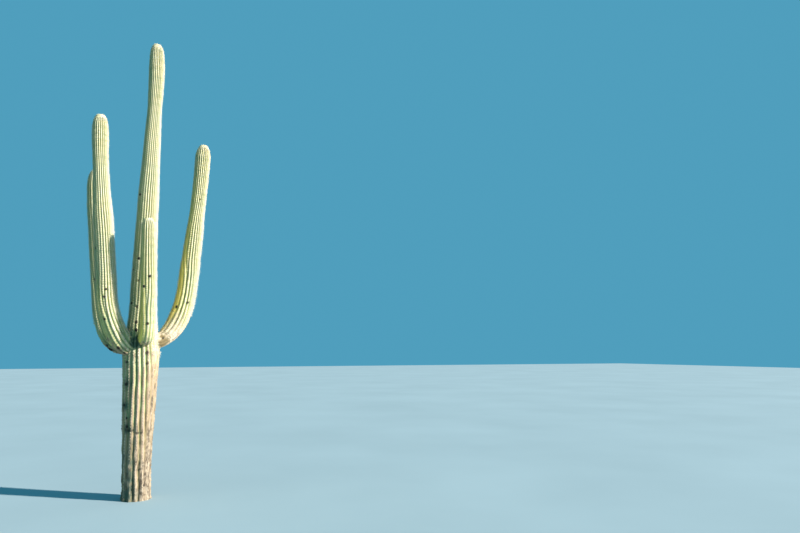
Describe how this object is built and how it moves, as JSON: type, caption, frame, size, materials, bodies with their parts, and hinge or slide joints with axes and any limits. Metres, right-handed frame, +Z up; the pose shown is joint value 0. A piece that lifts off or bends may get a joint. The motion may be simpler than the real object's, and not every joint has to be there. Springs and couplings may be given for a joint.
{
  "type": "saguaro cactus",
  "caption": "Rooted columnar desert cactus with a ribbed trunk and upturned ribbed arms, standing on level ground.",
  "frame": {"origin": "middle of the flat cut under the trunk, at ground level", "axes": "+Z up along the trunk; +Y away from the short front arm, so that the picture looks roughly along +Y; +X to the right arm"},
  "size_m": [1.3934, 0.9119, 5.392],
  "materials": {
    "corky_green_trunk": "green ribbed skin that turns grey-buff and corky towards the ground, matt, with dark scars",
    "waxy_green_arm": "waxy yellow-green ribbed skin with rows of pale spines along the ribs"
  },
  "bodies": {
    "root": {"trunk": "corky_green_trunk", "left_arm_elbow": "waxy_green_arm", "left_arm_column": "waxy_green_arm", "back_arm_elbow": "waxy_green_arm", "back_arm_column": "waxy_green_arm", "right_arm_elbow": "waxy_green_arm", "right_arm_column": "waxy_green_arm", "front_arm_elbow": "waxy_green_arm", "front_arm_column": "waxy_green_arm"}
  },
  "joints": []
}
